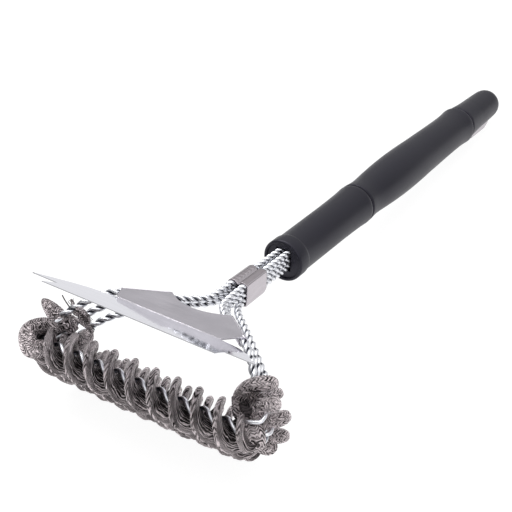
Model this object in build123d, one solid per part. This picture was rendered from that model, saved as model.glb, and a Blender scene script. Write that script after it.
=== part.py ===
from build123d import *
from math import asin, cos, radians, sqrt
import os

# Bristle-free grill brush, 18 inch class.  All sizes in mm.
# Everything is modelled in the handle frame: Y runs along the handle axis from the
# mouth (y = 0) to the tail, X runs along the mesh rolls, Z is up.  "place" then lays
# the brush down on its lowest roll and its folded hanging bail.

# ---- driving dimensions -------------------------------------------------------------
TILT = 4.5                 # handle axis falls towards its tail by this angle
LIFT = 37.5                # height of the handle-frame origin above the rest plane
SHIFT_Y = -73.4            # puts the middle of the overall length at y = 0

HANDLE_L = 303.0           # mouth face to tail
SEAM_1 = 89.6              # front sleeve / grip seam
SEAM_2 = 242.0             # grip / end cap seam
SLEEVE_BORE = 11.0
CORE_OD, CORE_ID = 9.3, 7.0        # radii of the big end of the core tube
NECK_CORE_OD = 7.6                 # radius of the small end of the core tube
CORE_START, CORE_STEP, CORE_END = 46.0, 238.0, 276.0

WIRE_R = 2.2               # envelope radius of one twisted pair
ROW_DZ = 4.51              # distance between stacked pairs
ROLL_R = 13.7              # mesh roll radius
ROLL_HALF = 66.0           # half length of the straight mesh roll
ROLL_STEP = (10.27, -12.16)        # y, z step from one roll to the next
ROLL_1 = (-141.2, -9.0)            # y, z of the top roll axis
GAP = 0.15                 # clearance kept at shared mid planes

SHEET = 0.8                # clamp and scraper sheet
BLADE_ANGLE = 32.3
PIVOT = (285.0, -6.5)      # y, z of the hanging bail pin

LEVELS = ["top", "mid", "low"]
# leg vertices after the clamp for each level: (x, y, z), then fillet radii
LEGS = [
    ([(4.2, -71.0, 7.7), (47.0, -108.3, 15.8), (64.0, -124.0, 4.5)], [12, 16, 12]),
    ([(4.2, -67.6, 3.1), (47.9, -101.9, 6.2), (62.0, -113.5, -4.0)], [12, 16, 12]),
    ([(4.0, -57.0, -1.7), (40.0, -88.0, -2.8), (60.0, -104.0, -12.0)], [9, 20, 14]),
]
CORNER_X = 75.5
CORNER_R = 5.2
ANCHOR_Y = 38.0            # wire ends sit here, inside the anchor block

place = Location((0, SHIFT_Y, LIFT), (-TILT, 0, 0))
parts = {}


def roll_axis(level):
    """y, z of the roll axis of one level."""
    return (ROLL_1[0] + ROLL_STEP[0] * level, ROLL_1[1] + ROLL_STEP[1] * level)


def turned(outline):
    """Solid of revolution about the handle axis from (radius, y) points."""
    return revolve(make_face(Polyline(*[(r, y, 0) for r, y in outline], close=True)), Axis.Y)


def tube_y(radius, y0, y1):
    """Plain cylinder on the handle axis."""
    return turned([(0, y0), (radius, y0), (radius, y1), (0, y1)])


def round_path(points, radii):
    """Straight runs joined by tangent arcs, one radius per inner vertex."""
    pts = [Vector(*p) for p in points]
    edges, start = [], pts[0]
    for i in range(1, len(pts) - 1):
        into, out = (pts[i] - pts[i - 1]).normalized(), (pts[i + 1] - pts[i]).normalized()
        half = radians(180 - into.get_angle(out)) / 2
        reach = radii[i - 1] * cos(half) / sqrt(1 - cos(half) ** 2)
        a, b = pts[i] - into * reach, pts[i] + out * reach
        bisector = (out - into).normalized()
        centre = pts[i] + bisector * sqrt(reach ** 2 + radii[i - 1] ** 2)
        middle = centre - bisector * radii[i - 1]
        edges += [Line(start, a), ThreePointArc(a, middle, b)]
        start = b
    edges.append(Line(start, pts[-1]))
    return edges


def rod(points, radii, radius):
    """Round rod along straight runs and arcs."""
    edges = round_path(points, radii)
    first = edges[0]
    section = Plane(origin=first @ 0, z_dir=first % 0) * Circle(radius)
    return sweep(section, path=Wire(edges))


def leg_points(level, side):
    """Vertices of one leg from the anchor block to the end of the core."""
    ry, rz = roll_axis(level)
    pts = [(2.75, ANCHOR_Y, 4.95 - ROW_DZ * level)] + LEGS[level][0]
    pts += [(CORNER_X, ry, rz), (ROLL_HALF, ry, rz)]
    return [(side * x, y, z) for x, y, z in pts]


def half_space(level, upper):
    """Big box beyond the mid plane between this level and its upper or lower neighbour."""
    ry, rz = roll_axis(level)
    sign = -1 if upper else 1
    n = Vector(0, sign * ROLL_STEP[0], sign * ROLL_STEP[1])
    origin = Vector(0, ry, rz) + n * 0.5 - n.normalized() * GAP
    return Plane(origin=origin, z_dir=n) * Pos(0, 0, 60) * Box(260, 260, 120)


def between_levels(solid, level):
    """Trim a mesh body at the mid planes it shares with its neighbours."""
    if level > 0:
        solid -= half_space(level, True)
    if level < 2:
        solid -= half_space(level, False)
    return solid


# ---- handle -------------------------------------------------------------------------
sleeve = turned([
    (11.7, 0), (13.0, 0), (13.8, 0.9), (13.8, 9.0), (13.1, 10.6), (13.1, 58.0), (13.4, 78.0),
    (13.9, 86.5), (13.9, 88.8), (13.1, 88.9), (13.1, SEAM_1), (CORE_OD + 0.05, SEAM_1),
    (CORE_OD + 0.05, CORE_START), (SLEEVE_BORE, CORE_START), (SLEEVE_BORE, 6.0), (11.7, 6.0),
])
parts["front_sleeve"] = sleeve

belly = Spline((13.1, 101.0, 0), (13.7, 113.0, 0), (14.5, 128.0, 0), (14.9, 147.0, 0),
               (14.6, 166.0, 0), (13.7, 187.0, 0), (12.8, 208.0, 0), (12.2, 224.0, 0),
               (12.9, 233.0, 0), (13.8, 239.8, 0))
grip_side = [Line((13.1, SEAM_1, 0), (13.1, 90.2, 0)), Line((13.1, 90.2, 0), (13.8, 90.3, 0)),
             Line((13.8, 90.3, 0), (13.1, 101.0, 0)), belly,
             Line((13.8, 239.8, 0), (13.8, 241.3, 0)), Line((13.8, 241.3, 0), (12.9, 241.4, 0)),
             Line((12.9, 241.4, 0), (12.9, SEAM_2, 0)),
             Polyline((12.9, SEAM_2, 0), (NECK_CORE_OD + 0.05, SEAM_2, 0),
                      (NECK_CORE_OD + 0.05, CORE_STEP, 0), (CORE_OD + 0.05, CORE_STEP, 0),
                      (CORE_OD + 0.05, SEAM_1, 0), (13.1, SEAM_1, 0))]
parts["grip_tube"] = revolve(make_face(grip_side), Axis.Y)

cap = turned([
    (NECK_CORE_OD + 0.05, SEAM_2), (12.9, SEAM_2), (12.9, 242.6), (13.6, 242.7), (12.3, 255.0),
    (11.8, 262.0), (11.2, 278.0), (10.9, 290.0), (10.0, 295.5), (8.2, 299.6), (5.2, 302.2),
    (0, HANDLE_L), (0, CORE_END + 1.0), (NECK_CORE_OD + 0.05, CORE_END + 1.0),
])
for side in (-1, 1):
    cap -= Pos(side * 5.0, 292.5, -11.0) * Box(1.9, 24.0, 20.0)
cap -= Pos(0, *PIVOT) * Rot(0, 90, 0) * Cylinder(1.55, 16.4)
parts["end_cap"] = cap

core = turned([(2.6, CORE_START), (CORE_OD, CORE_START), (CORE_OD, CORE_STEP),
               (NECK_CORE_OD, CORE_STEP), (NECK_CORE_OD, CORE_END), (NECK_CORE_OD - 1.4, CORE_END),
               (NECK_CORE_OD - 1.4, 232.0), (CORE_ID, 228.0), (CORE_ID, 50.0), (2.6, 50.0)])
parts["handle_core"] = core

plug = Pos(0, 3.1, 0) * Rot(90, 0, 0) * Cylinder(11.6, 5.6)
plug -= Pos(0, 3.1, 1.05) * Box(11.6, 12.0, 14.6)
parts["mouth_plug"] = plug

block = Pos(0, 33.9, 0) * Rot(90, 0, 0) * Cylinder(10.9, 23.8)
for level in range(3):
    for side in (-1, 1):
        pts = leg_points(level, side)
        block -= rod([pts[0], pts[1]], [], WIRE_R + 0.02)
block -= tube_y(2.1, 40.0, 50.0)
parts["anchor_block"] = block
parts["anchor_screw"] = tube_y(2.1, 40.5, 50.4) + tube_y(4.6, 50.05, 53.4)

# ---- wire loops ---------------------------------------------------------------------
def clear_of_legs(solid, sides=(-1, 1)):
    """Cut room for every wire leg out of a mesh body."""
    for other in range(3):
        for s in sides:
            solid -= rod(leg_points(other, s), LEGS[other][1] + [CORNER_R], WIRE_R + 0.05)
    return solid


for level, name in enumerate(LEVELS):
    ry, rz = roll_axis(level)
    parts[name + "_wire_core"] = rod([(-ROLL_HALF, ry, rz), (ROLL_HALF, ry, rz)], [], WIRE_R)
    for side, word in ((-1, "left"), (1, "right")):
        radii = LEGS[level][1] + [CORNER_R]
        parts["%s_wire_leg_%s" % (name, word)] = rod(leg_points(level, side), radii, WIRE_R)

# ---- knitted mesh -------------------------------------------------------------------
for level, name in enumerate(LEVELS):
    ry, rz = roll_axis(level)
    body = Pos(0, ry, rz) * Rot(0, 90, 0) * Cylinder(ROLL_R, 2 * ROLL_HALF)
    body -= Pos(0, ry, rz) * Rot(0, 90, 0) * Cylinder(WIRE_R + 0.05, 2 * ROLL_HALF + 2)
    parts[name + "_mesh_roll"] = clear_of_legs(between_levels(body, level))
    for side, word in ((-1, "left"), (1, "right")):
        knee = Vector(*LEGS[level][0][-1])
        bend = Vector(CORNER_X, ry, rz)
        up = (knee - bend).normalized()
        sock = Pos(ROLL_HALF + 5.5, ry, rz) * Sphere(12.2)
        sock += Plane(origin=bend - Vector(2.5, 0, 0), z_dir=up) * Pos(0, 0, 8.5) * Cylinder(8.6, 19)
        sock -= Pos(ROLL_HALF + GAP - 20, ry, rz) * Box(40, 60, 60)
        sock = between_levels(sock, level)
        if side < 0:
            sock = mirror(sock, Plane.YZ)
        sock = clear_of_legs(sock, (side,))
        parts["%s_mesh_corner_%s" % (name, word)] = sock.solids().sort_by(SortBy.VOLUME)[-1]

# ---- clamp band ---------------------------------------------------------------------
def band_section(y, half_w, z_low, z_high, cut):
    """Rectangle with its two lower corners cut off, seen along the handle axis."""
    pts = [(-half_w, z_high), (half_w, z_high), (half_w, z_low + cut), (half_w - cut, z_low),
           (-half_w + cut, z_low), (-half_w, z_low + cut)]
    return make_face(Polyline(*[(x, y, z) for x, z in pts], close=True))


def band(grow):
    """Tapering block of the clamp, grown outwards."""
    front = band_section(-48.5, 6.25 + grow, -4.95 - grow, 9.6 + grow, 1.2)
    rear = band_section(-27.5, 5.95 + grow, -5.35 - grow, 9.05 + grow, 1.2)
    return loft([front, rear])


def band_core():
    """The space inside the clamp, run out past both of its ends."""
    front = band_section(-49.5, 6.265, -4.93, 9.63, 1.2)
    rear = band_section(-26.5, 5.935, -5.37, 9.02, 1.2)
    return loft([front, rear])


parts["clamp_band"] = band(SHEET) - band_core()

# ---- scraper: plate on the top legs, folded up into the blade, tabs rolled round legs ---
PLATE = [(21.7, -82.7), (43.2, -101.4), (35.0, -116.3)]
PLATE_Z = [12.9, 17.3, 20.9]
plate_rise = (PLATE_Z[2] - PLATE_Z[0]) / (PLATE[0][1] - PLATE[2][1])


def sheet_prism(points, slope, y_ref, z_ref):
    """Sheet of constant thickness above the plane z = z_ref + slope * (y_ref - y)."""
    flat = [(x, y, z_ref + slope * (y_ref - y)) for x, y in points]
    face = make_face(Polyline(*flat, close=True))
    return extrude(face, amount=SHEET, dir=(0, slope / sqrt(1 + slope ** 2), 1 / sqrt(1 + slope ** 2)))


rear_arc = [(15.5, -88.2), (8.5, -92.2), (0, -93.8), (-8.5, -92.2), (-15.5, -88.2)]
outline = PLATE + [(-x, y) for x, y in reversed(PLATE)] + list(reversed(rear_arc))
plate = sheet_prism(outline, plate_rise, PLATE[0][1], PLATE_Z[0])

blade_rise = sqrt(1 / cos(radians(BLADE_ANGLE)) ** 2 - 1)
half_blade = [(35.0, -115.9), (50.0, -120.4), (72.5, -145.9), (54.5, -147.1), (56.0, -160.0)]
blade_outline = half_blade + [(-x, y) for x, y in reversed(half_blade)]
blade = sheet_prism(blade_outline, blade_rise, PLATE[2][1], PLATE_Z[2])
scraper = plate + blade

for side in (-1, 1):
    a, b = Vector(*LEGS[0][0][0]), Vector(*LEGS[0][0][1])
    a, b = Vector(side * a.X, a.Y, a.Z), Vector(side * b.X, b.Y, b.Z)
    run = (b - a).normalized()
    outward = Vector(side * 0.657, 0.754, 0)
    frame = Plane(origin=a + (b - a) * 0.42, x_dir=outward - run * outward.dot(run), z_dir=run)
    length = (b - a).length * 0.42
    ring = Circle(WIRE_R + 1.0) - Circle(WIRE_R + 0.2)
    ring -= Pos(-4.2, 0) * Rectangle(8, 12)
    hook = extrude(frame * ring, amount=length)
    scraper += hook
parts["scraper"] = scraper

# ---- hanging bail -------------------------------------------------------------------
py, pz = PIVOT
side_view = [(288.3, -8.0), (286.5, -12.5), (281.0, -15.4), (258.0, -15.4), (256.5, -15.0),
             (256.5, -12.6), (262.0, -12.3), (276.0, -11.7), (281.0, -10.0), (281.9, -6.5)]
ear = make_face(Polyline(*[(0, y, z) for y, z in side_view], close=True))
ear_solid = extrude(ear, amount=0.5, both=True)
ear_solid += Pos(0, py, pz) * Rot(0, 90, 0) * Cylinder(3.3, 1.0)
ear_solid -= Pos(0, py, pz) * Rot(0, 90, 0) * Cylinder(1.55, 4)
bail = Pos(5.0, 0, 0) * ear_solid + Pos(-5.0, 0, 0) * ear_solid
bail += Pos(0, 257.0, -13.8) * Box(11.0, 1.0, 2.4)
parts["hanging_bail"] = bail
parts["bail_pin"] = Pos(0, py, pz) * Rot(0, 90, 0) * Cylinder(1.5, 16.4)

# ---- export -------------------------------------------------------------------------
os.makedirs("parts", exist_ok=True)
for name, shape in parts.items():
    solids = shape.solids() if not isinstance(shape, Solid) else [shape]
    if len(solids) != 1:
        print("WARNING", name, "has", len(solids), "solids")
    solid = max(solids, key=lambda s: s.volume)
    export_step(solid.moved(place), "parts/%s.step" % name)
    box = solid.moved(place).bounding_box()
    print(name, "volume %.0f" % solid.volume, [round(v, 1) for v in (*box.min, *box.max)])
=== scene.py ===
from math import atan, cos, pi, radians, sin, sqrt

import bpy
import numpy as np
from mathutils import Matrix, Vector


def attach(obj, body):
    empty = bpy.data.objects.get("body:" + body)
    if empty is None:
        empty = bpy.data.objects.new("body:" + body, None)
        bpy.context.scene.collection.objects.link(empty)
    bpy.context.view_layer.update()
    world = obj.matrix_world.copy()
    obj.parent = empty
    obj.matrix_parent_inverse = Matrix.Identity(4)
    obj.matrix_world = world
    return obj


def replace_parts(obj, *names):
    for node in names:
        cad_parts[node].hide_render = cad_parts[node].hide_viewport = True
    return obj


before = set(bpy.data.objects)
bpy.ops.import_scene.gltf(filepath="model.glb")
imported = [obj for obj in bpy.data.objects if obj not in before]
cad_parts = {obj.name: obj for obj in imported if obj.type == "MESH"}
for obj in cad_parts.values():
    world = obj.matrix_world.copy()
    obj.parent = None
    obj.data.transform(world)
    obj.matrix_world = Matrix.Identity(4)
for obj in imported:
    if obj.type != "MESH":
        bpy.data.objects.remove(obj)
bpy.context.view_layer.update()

# Everything is modelled in the handle frame in mm: Y along the handle axis (mouth at 0,
# cap's end at 297), X along the mesh rolls, Z up.  row() lays it down in the row frame in metres.
TILT, LIFT, SHIFT_Y = radians(4.5), 37.5, -73.4
K = 0.856                       # mm for one unit of the wire loop's layout grid


def row(p):
    """Points of the handle frame, in mm, in the row frame, in metres."""
    p = np.asarray(p, float)
    c, s = cos(TILT), sin(TILT)
    return np.stack([p[..., 0], c * p[..., 1] + s * p[..., 2] + SHIFT_Y,
                     -s * p[..., 1] + c * p[..., 2] + LIFT], -1) / 1000


def turn(v):
    """A direction of the handle frame in the row frame."""
    return Vector(row(v) - row((0, 0, 0))).normalized()


def unit(v):
    return v / np.linalg.norm(v, axis=-1, keepdims=True)


# ---- materials ----------------------------------------------------------------------
class Nodes:
    """A material and short ways to add nodes to it."""

    def __init__(self, name, **inputs):
        self.mat = bpy.data.materials.new(name)
        self.mat.use_nodes = True
        self.tree = self.mat.node_tree
        self.shader = self.tree.nodes["Principled BSDF"]
        for key, value in inputs.items():
            self.shader.inputs[key.replace("_", " ")].default_value = value

    def node(self, kind, sockets=(), **props):
        n = self.tree.nodes.new(kind)
        for key, value in props.items():
            setattr(n, key, value)
        for key, value in dict(sockets).items():
            self.put(n.inputs[key], value)
        return n

    def put(self, socket, value):
        if isinstance(value, bpy.types.NodeSocket):
            self.tree.links.new(value, socket)
        else:
            socket.default_value = value

    def math(self, op, *values):
        n = self.node("ShaderNodeMath", enumerate(values), operation=op)
        return n.outputs[0]

    def noise(self, scale, detail=3, coords=None, stretch=None):
        coords = coords or self.node("ShaderNodeTexCoord").outputs["Object"]
        if stretch:
            coords = self.node("ShaderNodeMapping", {"Vector": coords, "Scale": stretch}).outputs[0]
        return self.node("ShaderNodeTexNoise", {"Vector": coords, "Scale": scale,
                                                "Detail": detail}).outputs["Fac"]

    def ramp(self, fac, stops):
        n = self.node("ShaderNodeValToRGB", {"Fac": fac})
        while len(n.color_ramp.elements) < len(stops):
            n.color_ramp.elements.new(0.5)
        for e, (at, colour) in zip(n.color_ramp.elements, stops):
            e.position = at
            e.color = (*colour, 1)
        return n.outputs["Color"]

    def range(self, value, a, b, lo, hi):
        n = self.node("ShaderNodeMapRange", {"Value": value, "From Min": a, "From Max": b,
                                             "To Min": lo, "To Max": hi})
        return n.outputs[0]

    def set(self, socket, value):
        self.put(self.shader.inputs[socket], value)

    def bump(self, height, distance, strength):
        sockets = {"Height": height, "Distance": distance, "Strength": strength}
        return self.node("ShaderNodeBump", sockets).outputs[0]

    def add(self, a, b):
        return self.math("ADD", a, b)

    def times(self, a, b):
        return self.math("MULTIPLY", a, b)

    def map(self, name):
        """A stored map, and its two values."""
        uv = self.node("ShaderNodeUVMap", uv_map=name).outputs[0]
        parts = self.node("ShaderNodeSeparateXYZ", {"Vector": uv})
        return uv, parts.outputs[0], parts.outputs[1]


def mix(a, b, share):
    """Colours a and b mixed, with this share of b."""
    return [(1 - share) * x + share * y for x, y in zip(a, b)]


def plastic(name, base, rough):
    m = Nodes(name, Specular_IOR_Level=0.42, Specular_Tint=(0.86, 0.83, 1.0, 1))
    fine = m.noise(2600, 2)
    broad = m.noise(38, 3)
    darker, lighter = [c * 0.88 for c in base], [c * 1.12 for c in base]
    m.set("Base Color", m.ramp(broad, [(0.3, darker), (0.7, lighter)]))
    m.set("Roughness", m.range(broad, 0.3, 0.7, rough - 0.03, rough + 0.04))
    m.set("Normal", m.bump(fine, 0.00004, 0.5))
    return m.mat


def steel(name, tint, rough, streak=None, depth=0.00001, edge=(1, 1, 1)):
    m = Nodes(name, Metallic=1.0, Specular_Tint=(*edge, 1))
    streaks = m.noise(260, 4, stretch=streak or (1, 1, 1))
    broad = m.noise(60, 2)
    darker, lighter = [c * 0.94 for c in tint], [min(1, c * 1.04) for c in tint]
    m.set("Base Color", m.ramp(streaks, [(0.3, darker), (0.7, lighter)]))
    m.set("Roughness", m.range(broad, 0.3, 0.7, rough * 0.85, rough * 1.15))
    m.set("Normal", m.bump(streaks, depth, 0.4))
    return m.mat


def wire_steel(name, tint, gap_shade):
    """Twisted wire: v is 0 on the outer side of a strand and 1 where it meets the other strand; the colour
    darkens towards v = 1, painted shade in the crevice.
    """
    m = Nodes(name, Metallic=1.0)
    uv, _, v = m.map("knit")
    scratch = m.noise(1.0, 3, uv, (0.25, 9.0, 1.0))
    level = m.add(v, m.range(scratch, 0.3, 0.7, -0.06, 0.06))
    # painted shade: the base colour darkens into the crevice where the two strands meet
    m.set("Base Color", m.ramp(level, [(0.22, tint), (0.46, mix(tint, gap_shade, 0.45)), (0.68, gap_shade)]))
    m.set("Roughness", m.range(scratch, 0.3, 0.7, 0.24, 0.34))
    m.set("Normal", m.bump(scratch, 0.00002, 0.4))
    return m.mat


COLUMN = 1.9                    # half width of a column of stitches
ROWS_PER_MM = 0.74


def knit(name, wire, gap_shade):
    """Knitted wire: u runs along the tube and v round it in mm; shade is how open the place is. It picks the
    rim's stitches and paints shade, darker close to the wires; the dark stitch gaps are painted shade too.
    """
    m = Nodes(name, Metallic=0.8)
    uv, u, v = m.map("knit")
    openness_and_shade = m.map("shade")[1]
    wobble = m.range(m.noise(1.0, 2, uv, (0.22, 0.22, 1.0)), 0.3, 0.7, -1.0, 1.0)
    # chevrons of stitches at the rim, long arcs on the faces
    column = m.math("PINGPONG", m.add(v, m.times(wobble, 0.8)), COLUMN)
    chevron = m.add(m.add(u, m.times(column, 0.80)), m.times(wobble, 1.15))
    arc = m.add(m.add(v, m.times(u, 0.16)), m.times(wobble, 0.9))
    rim = m.range(openness_and_shade, 0.80, 0.97, 0.0, 1.0)
    face = m.math("SUBTRACT", 1.0, rim)
    along = m.add(m.times(chevron, rim), m.times(arc, face))
    across = m.add(v, m.times(u, face))
    line_place = m.node("ShaderNodeCombineXYZ", {"X": along, "Y": across}).outputs[0]
    lines = m.math("SINE", m.times(along, 2 * pi * ROWS_PER_MM))
    streak = m.range(m.noise(1.0, 4, line_place, (1.35, 0.22, 1.0)), 0.3, 0.7, -1.0, 1.0)
    fine = m.range(m.noise(1.0, 3, line_place, (3.6, 0.7, 1.0)), 0.3, 0.7, -1.0, 1.0)
    height = m.add(m.times(lines, 0.62), m.add(m.times(streak, 0.78), m.times(fine, 0.45)))
    patch = m.range(m.noise(95, 2), 0.3, 0.7, -0.35, 0.3)
    # painted shade: the colour darkens where the knit lies close to the wires, and the darkest stop stands
    # for shade in the stitch gaps
    level = m.add(m.add(height, patch), m.range(openness_and_shade, 0.0, 0.8, -0.6, 0.5))
    stops = [(0.34, gap_shade), (0.50, mix(wire, gap_shade, 0.84)), (0.64, mix(wire, gap_shade, 0.5)), (0.78, wire)]
    m.set("Base Color", m.ramp(m.range(level, -1.6, 1.6, 0, 1), stops))
    m.set("Roughness", m.range(level, -1, 1, 0.6, 0.28))
    m.set("Normal", m.bump(height, 0.0009, 1.0))
    return m.mat


BLACK = plastic("handle_black", (0.0055, 0.0055, 0.0095), 0.42)
CORE = plastic("core_grey", (0.05, 0.05, 0.05), 0.5)
# the second colour is painted shade, for the crevices between the strands
WIRE = wire_steel("wire_steel", (0.82, 0.83, 0.87), (0.09, 0.095, 0.12))
SHEET = steel("sheet_steel", (0.76, 0.73, 0.79), 0.22, (0.15, 1, 1))
BLADE = steel("blade_steel", (0.76, 0.76, 0.79), 0.06, (0.15, 1, 1), 0.0000005, (0.74, 0.74, 0.77))
CLAMP = steel("clamp_steel", (0.52, 0.485, 0.515), 0.24, (1, 0.3, 1))
# a darker copy of the clamp's steel: painted reflection of dark surroundings, for the top faces
CLAMP_TOP_SHADE = steel("clamp_top_shaded_steel", (0.36, 0.33, 0.35), 0.30, (1, 0.3, 1))
PLAIN = steel("plain_steel", (0.6, 0.6, 0.62), 0.35)
# the second colour is painted shade, for the stitch gaps and the knit close to the wires
MESH = knit("knitted_mesh", (0.98, 0.88, 0.90), (0.014, 0.0095, 0.0095))
# a dark copy of the knit: painted shade, laid where the folds lie in shadow
SHADE_KNIT = knit("knit_in_shade", (0.10, 0.085, 0.09), (0.004, 0.003, 0.003))
DARK_WIRE = steel("loose_wire", (0.10, 0.09, 0.09), 0.35)


# ---- mesh helpers -------------------------------------------------------------------
def piece(name, verts, faces, material, body="brush", smooth=True, uv=None, shade=None):
    """A mesh from points of the handle frame; uv and shade are maps with one value for each point."""
    mesh = bpy.data.meshes.new(name)
    mesh.from_pydata(row(verts).tolist(), [], faces)
    if uv is not None:
        layer = mesh.uv_layers.new(name="knit")
        index = np.zeros(len(mesh.loops), int)
        mesh.loops.foreach_get("vertex_index", index)
        layer.data.foreach_set("uv", uv[index].ravel())
        if shade is not None:
            layer = mesh.uv_layers.new(name="shade")
            layer.data.foreach_set("uv", np.stack([shade[index], shade[index]], 1).ravel())
    mesh.polygons.foreach_set("use_smooth", [smooth] * len(mesh.polygons))
    mesh.materials.append(material)
    mesh.update()
    obj = bpy.data.objects.new(name, mesh)
    bpy.context.scene.collection.objects.link(obj)
    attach(obj, body)
    return obj


def grid_faces(n, m, close_m=True, caps=True):
    """Quads over n rings of m points."""
    faces = []
    for i in range(n - 1):
        for j in range(m if close_m else m - 1):
            k = (j + 1) % m
            faces.append((i * m + j, i * m + k, (i + 1) * m + k, (i + 1) * m + j))
    if caps:
        faces.append(tuple(reversed(range(m))))
        faces.append(tuple((n - 1) * m + j for j in range(m)))
    return faces


def smooth_path(points, step):
    """Even points, step apart, on a centripetal Catmull-Rom curve through the given points."""
    p = np.asarray(points, float)
    p = np.vstack([2 * p[0] - p[1], p, 2 * p[-1] - p[-2]])
    t = np.concatenate([[0], np.cumsum(np.sqrt(np.linalg.norm(np.diff(p, axis=0), axis=1)))])
    out = []

    def blend(q, start, end, one, other):
        """From one at t = start to other at t = end."""
        return (end - q) / (end - start) * one + (q - start) / (end - start) * other

    for i in range(1, len(p) - 2):
        q = np.linspace(t[i], t[i + 1], 24, endpoint=False)[:, None]
        a = [blend(q, t[i + k], t[i + k + 1], p[i + k], p[i + k + 1]) for k in (-1, 0, 1)]
        b = [blend(q, t[i + k - 1], t[i + k + 1], a[k], a[k + 1]) for k in (0, 1)]
        out.append(blend(q, t[i], t[i + 1], b[0], b[1]))
    out = np.vstack(out + [p[-2:-1]])
    s = np.concatenate([[0], np.cumsum(np.linalg.norm(np.diff(out, axis=0), axis=1))])
    even = np.arange(0, s[-1], step)
    return np.stack([np.interp(even, s, out[:, k]) for k in range(3)], 1)


def frames(path, start, normal):
    """Tangent, normal and binormal along a path with the least turning, given one normal."""
    tangent = unit(np.gradient(path, axis=0))
    normals = np.zeros_like(path)
    normals[start] = normal
    for a, b, step in ((start + 1, len(path), 1), (start - 1, -1, -1)):
        for i in range(a, b, step):
            n = normals[i - step] - np.dot(normals[i - step], tangent[i]) * tangent[i]
            normals[i] = n / np.linalg.norm(n)
    return tangent, normals, np.cross(tangent, normals)


def tube(path, radius, sides, outward=None):
    """Vertices, faces and (mm along, side) pairs of a round tube; side is 0 towards outward and 1 away."""
    if outward is None:
        t = unit(path[1] - path[0])
        side = np.cross(t, (0.3, 0.2, 1.0))
        _, n, b = frames(path, 0, side / np.linalg.norm(side))
    else:
        t = unit(np.gradient(path, axis=0))
        n = unit(outward - np.sum(outward * t, 1)[:, None] * t)
        b = np.cross(t, n)
    a = np.linspace(0, 2 * pi, sides, endpoint=False)
    radius = np.broadcast_to(radius, len(path))
    ring = np.cos(a)[None, :, None] * n[:, None] + np.sin(a)[None, :, None] * b[:, None]
    v = path[:, None] + radius[:, None, None] * ring
    s = np.concatenate([[0], np.cumsum(np.linalg.norm(np.diff(path, axis=0), axis=1))])
    side = (1 - np.cos(a)) / 2 if outward is not None else 0.25 + 0 * a
    uv = np.stack(np.broadcast_arrays(s[:, None], side[None]), -1).reshape(-1, 2)
    return v.reshape(-1, 3), grid_faces(len(path), sides), uv


def bundle(name, tubes, material):
    """Several tubes in one piece."""
    verts, faces, uvs, count = [], [], [], 0
    for v, f, uv in tubes:
        faces += [tuple(i + count for i in q) for q in f]
        verts.append(v)
        uvs.append(uv)
        count += len(v)
    return piece(name, np.concatenate(verts), faces, material, uv=np.concatenate(uvs))


SEGMENTS = 144


def lathe(name, profile):
    """Plastic body of revolution about the handle axis from (y, radius) points."""
    profile = np.asarray(profile, float)
    a = np.tile(np.linspace(0, 2 * pi, SEGMENTS, endpoint=False), len(profile))
    y = np.repeat(profile[:, 0], SEGMENTS)
    r = np.repeat(profile[:, 1], SEGMENTS)
    v = np.stack([r * np.sin(a), y, r * np.cos(a)], 1)
    return piece(name, v, grid_faces(len(profile), SEGMENTS), BLACK)


def thicken(obj, thickness, offset):
    """Give a sheet its thickness in metres, to one side of its surface."""
    solid = obj.modifiers.new("sheet", "SOLIDIFY")
    solid.thickness, solid.offset = thickness, offset


def cut_box(obj, xs, ys, zs):
    """Take a box, given in the handle frame, out of a closed piece."""
    mesh = bpy.data.meshes.new("cutter")
    corners = row(np.array([(x, y, z) for x in xs for y in ys for z in zs]))
    sides = [(0, 1, 3, 2), (4, 6, 7, 5), (0, 4, 5, 1), (2, 3, 7, 6), (0, 2, 6, 4), (1, 5, 7, 3)]
    mesh.from_pydata(corners.tolist(), [], sides)
    cutter = bpy.data.objects.new("cutter", mesh)
    bpy.context.scene.collection.objects.link(cutter)
    rule = obj.modifiers.new("slot", "BOOLEAN")
    rule.operation, rule.solver, rule.object = "DIFFERENCE", "EXACT", cutter
    found = obj.evaluated_get(bpy.context.evaluated_depsgraph_get())
    cut = bpy.data.meshes.new_from_object(found)
    obj.modifiers.remove(rule)
    obj.data = cut
    bpy.data.objects.remove(cutter)
    bpy.data.meshes.remove(mesh)


# ---- wire loops ---------------------------------------------------------------------
ROLL_Y, ROLL_Z = -165.0, -10.5           # axis of the top roll, in layout units
STEP_Y, STEP_Z = 12.0, -14.2             # from one roll to the next
STEM = [(3.2, 44.0, 5.8), (3.2, 10.0, 6.5), (3.4, -10.0, 6.9), (3.7, -33.0, 7.7), (4.6, -57.0, 8.6)]
STEM_DROP = 5.27                         # from one loop's stem to the next, in layout units
LEGS = [
    [(4.9, -70, 8.8), (6.2, -81, 8.9), (10.7, -89, 10.3), (17.3, -95.5, 11.3), (34, -109, 14.3),
     (51, -123, 18), (59, -130, 16.5), (67, -137.5, 11), (76, -146, 4), (82, -155, -4), (84, -161, -8.5)],
    [(4.9, -68, 3.4), (6.4, -78, 3.6), (11, -84.5, 4), (18, -90.5, 4.5), (34, -103, 6),
     (51, -115, 6.5), (64, -125.3, 2.1), (71, -131.3, -3.2), (79, -141, -13), (83, -148, -20),
     (84, -150, -23)],
    [(5.2, -60, -2), (7.2, -66, -2), (11.5, -72.5, -1.5), (18, -78.5, -1), (29, -88, -1.5), (40, -97, -3),
     (51, -106, -6), (62, -115, -9.5), (73, -125, -17), (80, -132.5, -26), (83.5, -137.5, -34)],
]
STRAND_R, TOUCH = 1.28, 1.10             # a strand's radius and its distance from the pair's centre
STEM_PITCH, CORNER_PITCH, ROLL_PITCH = 9.2, 12.8, 28.4     # mm for a full turn of the pair
PATH_STEP = 0.5
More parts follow.
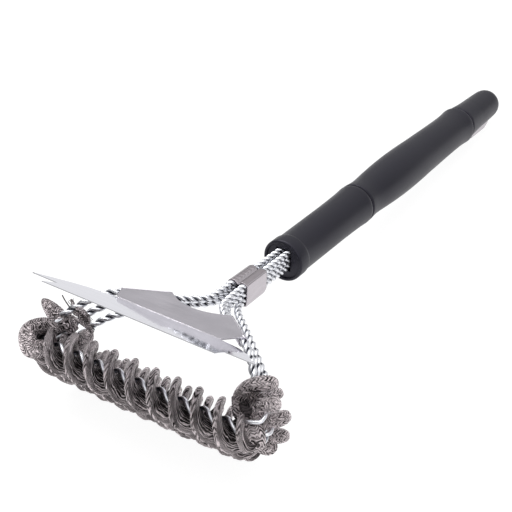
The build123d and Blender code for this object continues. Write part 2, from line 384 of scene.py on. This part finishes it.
# distances along the wire from the middle of a roll, in mm
MESH_END = 92.0
STRAIGHT_RUN = 56
LEG_RUN = 90                             # after MESH_END: here the pitch tightens to the stem's
PARTED, PARTED_END, PARTED_RAMP = 2.2, 68, 10        # the mesh holds the strands further apart
FRONT_AT = 64.5                          # to the left


def half_loop(level):
    """Points of the right-hand half of a loop, from its stem to its roll, and the roll's (y, z), in mm."""
    ry, rz = ROLL_Y + STEP_Y * level, ROLL_Z + STEP_Z * level
    pts = [(x, y, z - STEM_DROP * level) for x, y, z in STEM] + LEGS[level]
    pts += [(80, ry - 0.3, rz - 0.6)] + [(x, ry, rz) for x in (72, 54, 36, 18)]
    return [(x * K, y * K, z * K) for x, y, z in pts], (ry * K, rz * K)


class Loop:
    """Centre line of one wire loop, its frame, and how far its two strands have turned."""

    def __init__(self, level, phase):
        right, (ry, rz) = half_loop(level)
        left = [(-x, y, z) for x, y, z in right]
        self.path = smooth_path(left + [(0, ry, rz)] + right[::-1], PATH_STEP)
        self.mid = int(np.argmin(np.linalg.norm(self.path - np.array((0, ry, rz)), axis=1)))
        self.t, self.n, self.b = frames(self.path, self.mid, (0.0, 1.0, 0.0))
        self.s = (np.arange(len(self.path)) - self.mid) * PATH_STEP
        reach = np.abs(self.s)
        blend = np.clip((reach - MESH_END + 4) / 8, 0, 1)
        leg = np.interp(reach, [MESH_END, MESH_END + LEG_RUN], [CORNER_PITCH, STEM_PITCH])
        rate = 2 * pi * ((1 - blend) / ROLL_PITCH + blend / leg)
        angle = np.cumsum(rate) * PATH_STEP
        self.angle = angle - angle[self.mid] + phase
        parted = np.clip((PARTED_END - reach) / PARTED_RAMP, 0, 1)
        self.spread = TOUCH + PARTED * (1 - blend) * parted

    def direction(self, turned=0.0):
        a = self.angle[:, None] + turned
        return np.cos(a) * self.n + np.sin(a) * self.b


# at FRONT_AT one strand stands to the front and above: direction (y, z) = (-0.814, 0.581)
FRONT = pi - atan(0.581 / 0.814)
PHASE = FRONT + 2 * pi * FRONT_AT / ROLL_PITCH
LEVELS = ["top", "mid", "low"]
loops = [Loop(level, PHASE) for level in range(3)]

for name, loop in zip(LEVELS, loops):
    strands = []
    for turned in (0, pi):
        outward = loop.direction(turned)
        strands.append(tube(loop.path + loop.spread[:, None] * outward, STRAND_R, 16, outward))
    wire = bundle(name + "_wire_loop", strands, WIRE)
    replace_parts(wire, name + "_wire_core", name + "_wire_leg_left", name + "_wire_leg_right")


# ---- knitted mesh rolls -------------------------------------------------------------
ROLL_R, RIM = 13.7, 1.75                 # outer radius of a roll, radius of the folded edge
PINCHED = 0.55                           # half thickness where the wires hold the tube
LEAF_SHARE = 0.75                        # part of the section's points that the flat leaf takes
# for each roll, (distance from the middle, radius there) to the left and to the right
REACH = {
    "top": ([(0, 13.2), (58, 13.0), (65, 11.0), (72, 7.5), (80, 5.0)], [(0, 13.2), (70, 13.4), (77, 12.5)]),
    "mid": ([(0, 13.2), (66, 12.8), (80, 11.0), (88, 8.5)], [(0, 13.2), (62, 12.8), (70, 11.2)]),
    "low": ([(0, 12.8), (64, 12.2), (78, 10.0), (88, 8.5)], [(0, 12.8), (50, 12.4), (60, 10.6), (66, 9.0)]),
}


def section(points):
    """Half of the flattened tube's section as (radius, half thickness), from the wires to the rim."""
    r = []
    for i in range(points):
        a = i / (points - 1)
        if a < LEAF_SHARE:
            q = a / LEAF_SHARE
            r.append((q * (ROLL_R - RIM), PINCHED + (RIM - PINCHED) * (q * q * (3 - 2 * q)) ** 0.6))
        else:
            q = (a - LEAF_SHARE) / (1 - LEAF_SHARE) * pi / 2
            r.append((ROLL_R - RIM + RIM * sin(q), RIM * cos(q)))
    return r


def mesh_roll(name, loop, left, right):
    """A knitted tube held between the two strands and twisted with them."""
    ends = (-left[-1][0], right[-1][0])
    keep = (loop.s > ends[0]) & (loop.s < ends[1])
    path, t, s = loop.path[keep].copy(), loop.t[keep].copy(), loop.s[keep]
    n, b = loop.n[keep].copy(), loop.b[keep].copy()
    straight = s > STRAIGHT_RUN                    # the right-hand end runs on past the wire's bend
    k = np.argmax(straight)
    path[straight] = path[k] + (s[straight] - s[k])[:, None] * t[k]
    t[straight], n[straight], b[straight] = t[k], n[k], b[k]
    a = loop.angle[keep][:, None] + pi / 2
    radial = np.cos(a) * n + np.sin(a) * b
    across = np.cross(t, radial)
    half = section(26)
    ring = [(r, h) for r, h in half] + [(r, -h) for r, h in reversed(half[:-1])]
    ring = ring + [(-r, -h) for r, h in half[1:]] + [(-r, h) for r, h in reversed(half[1:-1])]
    ring = np.array(ring)
    c = ROLL_PITCH / (2 * pi)
    reach = np.where(s < 0, np.interp(-s, *zip(*left)), np.interp(s, *zip(*right))) / ROLL_R
    taper = np.clip(np.minimum(s - ends[0], ends[1] - s) / 5.0, 0, 1)
    size = reach * np.sqrt(np.clip(1 - (1 - taper) ** 2, 0.03, 1))
    lobe = 1 + 0.045 * np.sin(s * 0.83 + 1) + 0.03 * np.sin(s * 0.31 + 2)
    r = ring[None, :, 0] * (size * np.minimum(lobe, 1.0))[:, None]
    r = r * (1 + 0.012 * np.sin(s * 2 * pi / 2.1 + 1.5 * np.sin(0.9 * s)))[:, None]
    h = ring[None, :, 1] * (0.35 + 0.65 * size[:, None])
    norm = np.sqrt(r * r + c * c)
    normal = t[:, None] * (r / norm)[..., None] - across[:, None] * (c / norm)[..., None]
    v = path[:, None] + radial[:, None] * r[..., None] + normal * h[..., None]
    around = np.concatenate([[0], np.cumsum(np.linalg.norm(np.diff(ring, axis=0), axis=1))])
    uv = np.stack(np.broadcast_arrays(s[:, None], around[None]), -1).reshape(-1, 2)
    # how open the place is: it picks the rim's stitches, and gives painted shade, darker near the wires in
    # the tube's pinched middle
    shade = np.clip((np.abs(r) - 2.0) / 11.0, 0, 1).ravel()
    faces = grid_faces(len(s), len(ring))
    return piece(name, v.reshape(-1, 3), faces, MESH, uv=uv, shade=shade)


FOLD_STEP = 0.4


def rounded(a):
    """Width of a round end: 0 where a is 1, full where a is 0."""
    return np.sqrt(np.clip(1 - a ** 2, 0, 1))


def petal(name, spine, wide, thick, facing, root, tip, material=MESH):
    """A flattened fold of the knitted tube along a short spine.

    Its half width goes from root * wide to wide. The last share of its length, tip, is rounded off.
    """
    path = smooth_path(spine, FOLD_STEP)
    a = np.linspace(0, 1, len(path))
    t = unit(np.gradient(path, axis=0))
    side = unit(np.cross(t, np.array(facing, float)))
    up = np.cross(side, t)
    profile = np.interp(a, [0, 0.5, 1], [root, 1, 1]) * rounded(np.clip((a - (1 - tip)) / tip, 0, 0.995))
    start = rounded(np.clip(1 - a / 0.08, 0, 0.99))
    q = np.linspace(0, 2 * pi, 36, endpoint=False)
    ring_a, ring_b = np.cos(q), np.sin(q)
    w = wide * profile * start
    h = thick * (0.25 + 0.75 * profile) * start
    v = path[:, None] + side[:, None] * (w[:, None] * ring_a)[..., None]
    v = v + up[:, None] * (h[:, None] * ring_b)[..., None]
    coarse = 1.0 if spine[0][0] < 0 else 0.8        # the knit is stretched more at the right-hand corner
    uv = np.stack(np.broadcast_arrays((a * len(path) * FOLD_STEP)[:, None], q[None] * wide * 0.8), -1)
    uv = uv.reshape(-1, 2) * coarse
    # painted shade: darker at the fold's root, where it meets the roll; the value also picks the rim's
    # stitches
    shade = np.repeat(np.interp(a, [0, 0.25, 1], [0.5, 1, 1.1]), len(q))
    faces = grid_faces(len(path), len(q))
    return piece(name, v.reshape(-1, 3), faces, material, uv=uv, shade=shade)


for name, loop in zip(LEVELS, loops):
    roll = mesh_roll(name + "_knitted_roll", loop, *REACH[name])
    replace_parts(roll, name + "_mesh_roll", name + "_mesh_corner_left", name + "_mesh_corner_right")

UP = (-0.31, 0.42, 0.86)
TOWARD = (0.46, -0.72, 0.52)
# name, spine, half width, half thickness, the way its flat side faces, root, tip
PETALS = [
    ("top_fold_right_core", [(58, -129, 0), (63, -125, 1.5), (67, -121, 2)], 5.6, 3.0, UP, 1.0, 0.3),
    ("mid_fold_right_core", [(57, -123.5, -7), (62, -121.5, -11), (67, -119, -15.5)],
     5.0, 3.0, TOWARD, 1.0, 0.3),
    ("low_fold_right_core", [(56.5, -118, -27.5), (63, -118, -30), (68, -116, -33.5)],
     5.0, 3.0, TOWARD, 1.0, 0.3),
    ("top_leaf_right_end", [(66, -137.5, -2), (74, -142, -8), (74.5, -143.5, -17)],
     6.3, 3.0, TOWARD, 0.75, 0.35),
    ("top_fold_right_f", [(70, -135, 8), (75, -132, 6.5), (78.5, -125.5, 5)], 3.4, 2.6, UP, 0.9, 0.3),
    ("mid_fold_right_d", [(70, -128, -8), (72.5, -127, -8.5), (74.5, -124.5, -7.5)], 3.6, 2.2, UP, 0.9, 0.4),
    ("low_fold_right_d", [(69, -123.5, -25.5), (73.5, -119, -25.5)], 3.6, 2.6, TOWARD, 0.9, 0.4),
    ("low_fold_right_e", [(68, -126, -30), (72, -123, -30.5), (74, -119, -27.5)], 2.8, 2.4, TOWARD, 0.8, 0.4),
    ("low_fold_right_c", [(62, -124.5, -25), (71.5, -121, -29)], 4.6, 3.4, TOWARD, 1.0, 0.4),
    ("mid_fold_right_c", [(61.5, -133, -11.5), (65.5, -132.5, -14), (69, -129.5, -17)],
     3.6, 2.4, TOWARD, 1.0, 0.4),
    ("top_fold_right_a", [(58.5, -131.5, 2), (60, -129, 8), (66, -124, 11), (71.5, -117, 9)],
     6.5, 4.2, UP, 0.8, 0.2),
    ("top_fold_right_b", [(65, -133, -1), (72.5, -129, 3), (78, -122.5, 3)], 6.5, 4.0, UP, 0.8, 0.3),
    ("mid_fold_right_a", [(58, -118, -6), (64.5, -112.5, -4.5), (70, -107.5, -2.5)], 6.0, 3.4, UP, 0.8, 0.3),
    ("mid_fold_right_b", [(66, -126, -14), (74, -120.5, -11), (78.5, -113.5, -9.5)], 6.5, 4.2, UP, 0.8, 0.4),
    ("low_fold_right_a", [(65, -121, -25), (77.5, -111.5, -26)], 6.5, 4.4, UP, 0.8, 0.5),
    ("low_fold_right_b", [(62, -127, -28), (74, -120.5, -29)], 5.6, 4.4, UP, 0.9, 0.4),
    ("top_fold_right_c", [(57, -132, 5), (60, -135, -1), (62, -137, -7)], 3.6, 2.6, TOWARD, 0.9, 0.4),
    ("top_fold_right_d", [(69, -130, 3), (69, -133, -1), (70, -136, -5)], 5.2, 3.0, TOWARD, 1.0, 0.3),
    ("top_fold_right_e", [(61, -125, 0), (63, -129, -7), (65, -133, -13)], 6.5, 4.0, TOWARD, 0.9, 0.4),
    ("top_fold_left_c", [(-62.5, -134, -2), (-69.5, -137, 1), (-75, -144.5, -2), (-70, -149, -9),
                         (-59.5, -143, -6)],
     5.2, 3.4, TOWARD, 0.55, 0.22),
    ("top_fold_left_a", [(-62.5, -126.5, -5.5), (-68, -127.5, 1), (-79, -128, 9.5)],
     5.6, 2.2, TOWARD, 1.0, 0.95),
    ("top_fold_left_b", [(-59.5, -124.5, -7.5), (-65, -123, -2.5), (-70.5, -121, 1)],
     3.8, 2.0, TOWARD, 0.9, 0.5),
    ("mid_fold_left", [(-59.5, -119, -20), (-59.5, -114.5, -16), (-60.5, -111.5, -12)],
     4.5, 3.5, TOWARD, 0.9, 0.5),
]
for petal_name, spine, wide, thick, facing, root, tip in PETALS:
    petal(petal_name, spine, wide, thick, facing, root, tip)
# dark knit pieces in the crease and the hollow at the right-hand corner: painted shade
petal("top_crease_shade_right", [(63.5, -132, 11.5), (67, -129, 11), (70, -125, 11)],
      1.5, 1.2, TOWARD, 0.8, 0.5, SHADE_KNIT)
petal("top_hollow_shade_right", [(64.5, -138.5, 8), (67, -139.5, 5), (70, -140, 1.5)],
      2.9, 1.6, TOWARD, 0.8, 0.3, SHADE_KNIT)

# ends of wire that loop round the folds at the right-hand corner
RING_R = 1.15
RINGS = [
    ("top_corner_wire", [(64, -140, -2.5), (70, -141.5, -0.5), (75.5, -138.5, 0), (75.5, -134, 1.5),
                         (73, -131, 2.5)]),
    ("mid_corner_wire", [(67.5, -131, -13.5), (73.5, -132.5, -13), (76, -129.5, -13), (74.5, -125, -12)]),
]
for ring_name, line in RINGS:
    bundle(ring_name, [tube(smooth_path(line, FOLD_STEP), RING_R, 16)], WIRE)


# frayed ends of the knit and one loose wire at the left-hand corner
HAIR_R, LOOSE_R = 0.16, 0.36
FRAYED = [
    [(-59.5, -124, 6.5), (-55, -123.5, 5.5), (-46.5, -123.5, -2.5)],
    [(-59, -122.5, 8.5), (-54, -122.5, 8), (-49, -122, 2)],
    [(-66, -118.5, -2), (-60, -118.5, -4), (-52, -116, -9.5)],
    [(-61, -121, 6.5), (-64.5, -120.5, 11)],
]
for k, (spine, wide) in enumerate(zip(FRAYED, (2.2, 2.0, 2.4, 1.2))):
    petal("frayed_fold_left_" + "abcd"[k], spine, wide, 0.9, (0.4, -0.4 + 0.5 * k, 0.7), 0.8, 0.9)
hairs = []
for k, spine in enumerate(FRAYED):
    core = smooth_path(spine, PATH_STEP)
    t, n, b = frames(core, 0, unit(np.cross(core[1] - core[0], (0.3, 0.2, 1.0))))
    s = np.linspace(0, 1, len(core))
    for j in range(5):
        a = j * 2.4 + s * (1.2 + 0.3 * k)
        off = (1.0 + (j * 0.618) % 1) * (0.6 + 0.7 * s)
        line = core + (np.cos(a) * off)[:, None] * n + (np.sin(a) * off * 0.6)[:, None] * b
        hairs.append(tube(line, HAIR_R, 6))
bundle("frayed_wires_left", hairs, DARK_WIRE)
loose = smooth_path([(-62.5, -123.5, 7.5), (-65.5, -124, 11.5), (-67.5, -124, 14.5)], PATH_STEP)
bundle("loose_wire_left", [tube(loose, LOOSE_R, 10)], DARK_WIRE)

# ---- handle -------------------------------------------------------------------------
sleeve = [(6.0, 11.0), (1.0, 11.7), (0.15, 12.0), (0.0, 12.4), (0.1, 12.9), (0.45, 13.4), (0.9, 13.7),
          (1.4, 13.8), (8.6, 13.8), (9.4, 13.65), (10.2, 13.25), (11.2, 13.1), (30, 13.1), (58, 13.1),
          (70, 13.25), (80, 13.5), (85, 13.8), (87, 13.95), (88.4, 13.9), (88.8, 13.6), (88.9, 13.0),
          (89.6, 12.9), (89.6, 9.4)]
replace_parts(lathe("front_sleeve_body", sleeve), "front_sleeve")

grip = [(89.65, 9.4), (89.65, 12.9), (90.1, 13.0), (90.2, 13.5), (90.5, 13.8), (92, 13.75), (96, 13.35),
        (101, 13.1), (107, 13.3), (113, 13.7), (120, 14.1), (128, 14.5), (138, 14.8), (147, 14.9),
        (157, 14.8), (166, 14.6), (177, 14.2), (187, 14.0), (198, 13.7), (208, 13.5), (217, 13.35),
        (224, 13.3), (229, 13.35), (233, 13.5), (237, 13.75), (239.4, 13.95), (240.3, 13.9),
        (240.6, 13.5), (240.7, 12.3), (242.0, 12.3), (242.0, 7.7)]
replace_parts(lathe("grip_body", grip), "grip_tube")

cap = [(242.05, 7.7), (242.05, 12.3), (243.2, 12.3), (243.3, 12.8), (243.8, 13.0), (247, 12.8),
       (251, 12.5), (255, 12.2), (262, 11.8), (270, 11.6), (278, 11.4), (285, 11.2), (289, 11.0),
       (291.5, 10.6), (293.4, 9.9), (294.8, 9.0), (295.8, 7.6), (296.4, 5.8), (296.7, 3.6), (296.8, 1.8),
       (296.8, 0.4)]
RING_GAP = 1.2                                       # rings close enough for the cut below
HOLLOW_START, HOLLOW_END = 253, 294                  # the underside is cut away between these
HOLLOW_LOW, HOLLOW_DEPTH, HOLLOW_RAMP = -11.9, 3.6, 4.0
SLOT_X, SLOT_HALF = 5.0, 0.95                        # the slots that the bail's ears swing in
SLOT_Y, SLOT_Z = (280.5, 304.5), (-21.0, -1.0)


def close_rings(profile):
    """The same profile with more rings along its long runs."""
    fine = [profile[0]]
    for a, b in zip(profile, profile[1:]):
        steps = max(1, int((b[0] - a[0]) / RING_GAP))
        for k in range(1, steps + 1):
            fine.append((a[0] + (b[0] - a[0]) * k / steps, a[1] + (b[1] - a[1]) * k / steps))
    return fine


end_cap = lathe("end_cap_body", close_rings(cap))
back = Matrix.Rotation(TILT, 3, "X")
for vertex in end_cap.data.vertices:
    p = back @ (vertex.co - Vector((0, SHIFT_Y, LIFT)) / 1000) * 1000
    cut = min(1.0, max(0.0, min(p.y - HOLLOW_START, HOLLOW_END - p.y) / HOLLOW_RAMP))
    floor_z = HOLLOW_LOW + HOLLOW_DEPTH * cut * cut * (3 - 2 * cut)
    if p.z < floor_z:
        vertex.co = row((p.x, p.y, floor_z))
for middle in (-SLOT_X, SLOT_X):
    cut_box(end_cap, (middle - SLOT_HALF, middle + SLOT_HALF), SLOT_Y, SLOT_Z)
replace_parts(end_cap, "end_cap")


# ---- clamp --------------------------------------------------------------------------
SHEET_T, BLADE_T = 0.0008, 0.0005                    # metres
CRIMP_PITCH, CRIMP_DEPTH = 3.4, 0.20


def clamp_band():
    """Sheet crimped round the six stems: two ridges on top, flat sides, open at both ends."""
    y0, y1, rows = -48.5, -27.5, 43
    verts = []
    for i in range(rows):
        q = i / (rows - 1)
        y = y0 + (y1 - y0) * q
        w = 7.0 - 0.35 * q
        top, low = 10.3 - 0.55 * q, -5.6 - 0.35 * q
        low += 1.6 * max(0.0, (q - 0.86) / 0.14) ** 2
        crimp = CRIMP_DEPTH * sin((y - y0) * 2 * pi / CRIMP_PITCH)
        right = [(0.0, top - 1.9), (0.35, top - 1.55), (0.9, top - 0.9), (1.7, top - 0.3), (2.8, top),
                 (4.0, top - 0.05), (5.2, top - 0.25), (6.0, top - 0.6), (6.6, top - 1.2),
                 (w - 0.05, top - 2.1), (w, top - 3.2), (w, top - 6), (w, 0), (w, low + 3),
                 (w, low + 1.7), (w - 0.3, low + 0.9), (w - 1.0, low + 0.25), (w - 1.9, low), (3, low)]
        left = [(-x, z - (0.45 if x > 4.5 and z > 4 else 0)) for x, z in reversed(right[1:])]
        for x, z in right + left:
            ridge = crimp * max(0.0, 1 - abs(x + 1.9) / 1.6) if z > 5 else 0
            verts.append((x, y, z + ridge))
    faces = grid_faces(rows, len(right) + len(left), caps=False)
    obj = piece("clamp_sheet", np.array(verts), faces, CLAMP)
    # the flat top faces take the darker steel: painted reflection of dark surroundings
    obj.data.materials.append(CLAMP_TOP_SHADE)
    for face in obj.data.polygons:
        face.material_index = int(abs(face.normal.z) > 0.8 and face.center.z > LIFT / 1000)
    thicken(obj, SHEET_T, -1)
    return obj


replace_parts(clamp_band(), "clamp_band")


# ---- scraper ------------------------------------------------------------------------
SLOPE, BLADE_RISE = 0.244, 0.632                     # rise for each mm forwards
FOLD_Y, FOLD_Z = -116.3, 21.7
FOLD_HALF, WING_X = 0.6, 35.0                        # half length of the bend, half width at the bend


def flat_part(name, outline, height, material, thickness=SHEET_T):
    """A flat sheet from an outline in plan and a height rule."""
    verts = np.array([(x, y, height(y)) for x, y in outline])
    obj = piece(name, verts, [tuple(range(len(verts)))], material, smooth=False)
    thicken(obj, thickness, -1 if obj.data.polygons[0].normal.z > 0 else 1)
    edge = obj.modifiers.new("edge", "BEVEL")
    edge.width, edge.segments, edge.limit_method = 0.00014, 2, "ANGLE"
    return obj


def plate_height(y):
    return FOLD_Z + SLOPE * (FOLD_Y - y)


def blade_height(y):
    return FOLD_Z + BLADE_RISE * (FOLD_Y - y)


CURL = 2.9                                           # radius of the rolled tabs
edge_a, edge_b = np.array((21.7, -82.7, 0)), np.array((43.2, -101.4, 0))
along = unit(edge_b - edge_a)
outward = np.array((-along[1], along[0], 0))            # away from the plate's middle, right-hand side
inner_a, inner_b = edge_a - CURL * outward, edge_b - CURL * outward
rear = [(15.0, -88.6), (12.0, -90.6), (8.5, -92.2), (4.3, -93.4), (0, -93.8)]
half_plate = [(WING_X, FOLD_Y + FOLD_HALF), tuple(inner_b[:2]), tuple(inner_a[:2])] + rear
plate_line = half_plate + [(-x, y) for x, y in reversed(half_plate[:-1])]
plate = flat_part("scraper_plate", plate_line, plate_height, SHEET)

# the blade's outline on each side, from the bend round the wing's tip to the front edge
front_right = [(WING_X, FOLD_Y - FOLD_HALF), (42.5, -118.5), (50.5, -121), (59.5, -128), (76.5, -146),
               (75.5, -146.5), (58.5, -147), (62, -160)]
front_left = [(-WING_X, FOLD_Y - FOLD_HALF), (-41.5, -118.5), (-49, -121), (-56, -128), (-67.5, -146),
              (-65.5, -146.5), (-49, -147), (-48, -160)]
blade_line = front_right + front_left[::-1]
flat_part("scraper_blade", blade_line, blade_height, BLADE, BLADE_T)

rows = []
for i in range(7):
    a = i / 6
    y = FOLD_Y + FOLD_HALF - 2 * FOLD_HALF * a
    bend = plate_height(FOLD_Y + FOLD_HALF) + 2 * FOLD_HALF * (SLOPE * a + (BLADE_RISE - SLOPE) * a * a / 2)
    rows.append([(x, y, bend) for x in (-WING_X, -WING_X / 2, 0.0, WING_X / 2, WING_X)])
faces = grid_faces(7, 5, close_m=False, caps=False)
fold = piece("scraper_fold", np.array(rows).reshape(-1, 3), faces, SHEET)
thicken(fold, SHEET_T, 1 if fold.data.polygons[0].normal.z < 0 else -1)

# tabs rolled down and round the top legs
plate_up = unit(np.array((0.0, SLOPE, 1.0)))
out = unit(outward - np.dot(outward, plate_up) * plate_up)
turns = np.linspace(0, radians(215), 22)
for side, word in ((-1, "left"), (1, "right")):
    rows = []
    for i in range(11):
        base = inner_a + (inner_b - inner_a) * i / 10
        base[2] = plate_height(base[1])
        rows.append([base + CURL * (sin(a) * out - (1 - cos(a)) * plate_up) for a in turns])
    v = np.array(rows).reshape(-1, 3) * (side, 1, 1)
    faces = grid_faces(11, len(turns), close_m=False, caps=False)
    curl = piece("scraper_curl_" + word, v, faces, SHEET)
    thicken(curl, SHEET_T, 1 if curl.data.polygons[5].normal.z < 0 else -1)
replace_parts(plate, "scraper")

# ---- mouth plug ---------------------------------------------------------------------
PLUG_R, PLUG_SIDES = 11.7, 72
q = np.linspace(0, 2 * pi, PLUG_SIDES, endpoint=False)
# a squarish opening, where the stems come out
hole_x = np.sign(np.sin(q)) * np.minimum(5.4, 9.5 * np.abs(np.sin(q)))
hole_z = 0.9 + np.sign(np.cos(q)) * np.minimum(7.2, 9.5 * np.abs(np.cos(q)))
edge_x, edge_z = PLUG_R * np.sin(q), PLUG_R * np.cos(q)
rim = [(edge_x, edge_z, 6.0), (edge_x, edge_z, 1.3), (hole_x, hole_z, 1.1), (hole_x, hole_z, 6.0)]
v = np.concatenate([np.stack([x, np.full(PLUG_SIDES, y), z], 1) for x, z, y in rim])
faces = grid_faces(len(rim), PLUG_SIDES, caps=False)
plug = piece("mouth_disc", v, faces, BLACK, smooth=False)
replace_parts(plug, "mouth_plug")

# CAD parts that are seen as they are, with only a material given
KEPT = {"hanging_bail": CLAMP, "bail_pin": PLAIN, "anchor_block": CORE, "anchor_screw": PLAIN,
        "handle_core": CORE}
for node, mat in KEPT.items():
    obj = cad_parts[node]
    obj.data.materials.clear()
    obj.data.materials.append(mat)

# ---- stage, light, camera -----------------------------------------------------------
# the floor gives most of its light itself, so that it stays white under soft, weak lights
floor_mat = Nodes("pale_floor", Roughness=0.8, Specular_IOR_Level=0.2,
                  Emission_Color=(1, 1, 1, 1), Emission_Strength=0.92)
floor_tones = [(0.4, (0.14, 0.14, 0.14)), (0.6, (0.15, 0.15, 0.15))]
floor_mat.set("Base Color", floor_mat.ramp(floor_mat.noise(3, 2), floor_tones))
floor_mesh = bpy.data.meshes.new("floor")
floor_mesh.from_pydata([(-9, -9, 0), (9, -9, 0), (9, 9, 0), (-9, 9, 0)], [], [(0, 1, 2, 3)])
floor_mesh.materials.append(floor_mat.mat)
floor = bpy.data.objects.new("floor", floor_mesh)
bpy.context.scene.collection.objects.link(floor)

world = bpy.data.worlds.new("studio")
world.use_nodes = True
sky = world.node_tree
ramp = sky.nodes.new("ShaderNodeValToRGB")
lean = sky.nodes.new("ShaderNodeVectorMath")
lean.operation = "DOT_PRODUCT"
lean.inputs[1].default_value = (0.0, 0.25, 1.0)
sky.links.new(sky.nodes.new("ShaderNodeTexCoord").outputs["Generated"], lean.inputs[0])
sky.links.new(lean.outputs["Value"], ramp.inputs["Fac"])
sky.links.new(ramp.outputs["Color"], sky.nodes["Background"].inputs["Color"])
low, high = ramp.color_ramp.elements                 # dark at the horizon, white overhead
low.position, low.color = 0.02, (0.10, 0.10, 0.11, 1)
high.position, high.color = 0.62, (1.0, 1.0, 1.0, 1)
sky.nodes["Background"].inputs["Strength"].default_value = 0.8
bpy.context.scene.world = world
bpy.context.scene.view_settings.view_transform = "Standard"


def area(name, place, size, power):
    """A square light that points at the origin, under the middle of the brush."""
    light = bpy.data.lights.new(name, "AREA")
    light.shape, light.size, light.size_y, light.energy = "RECTANGLE", size, size, power
    obj = bpy.data.objects.new(name, light)
    obj.location = place
    obj.rotation_euler = (-Vector(place)).to_track_quat("-Z", "Y").to_euler()
    bpy.context.scene.collection.objects.link(obj)


area("key", (-0.9, 0.2, 1.5), 0.9, 13)
area("fill", (1.3, -0.7, 0.9), 0.9, 5)
area("top", (0.1, 0.1, 2.0), 1.4, 10)

camera = bpy.data.cameras.new("camera")
camera.lens, camera.sensor_width = 91.4, 36.0
camera.clip_start = 0.01
cam = bpy.data.objects.new("camera", camera)
right = turn((0.8324, 0.5534, 0.0289))
ahead = turn((-0.4621, 0.7219, -0.5151))
up = right.cross(ahead).normalized()
right = ahead.cross(up)
place = Matrix.Translation(Vector(row((351.95, -579.6, 410.5))))
cam.matrix_world = place @ Matrix((right, up, -ahead)).transposed().to_4x4()
bpy.context.scene.collection.objects.link(cam)
bpy.context.scene.camera = cam
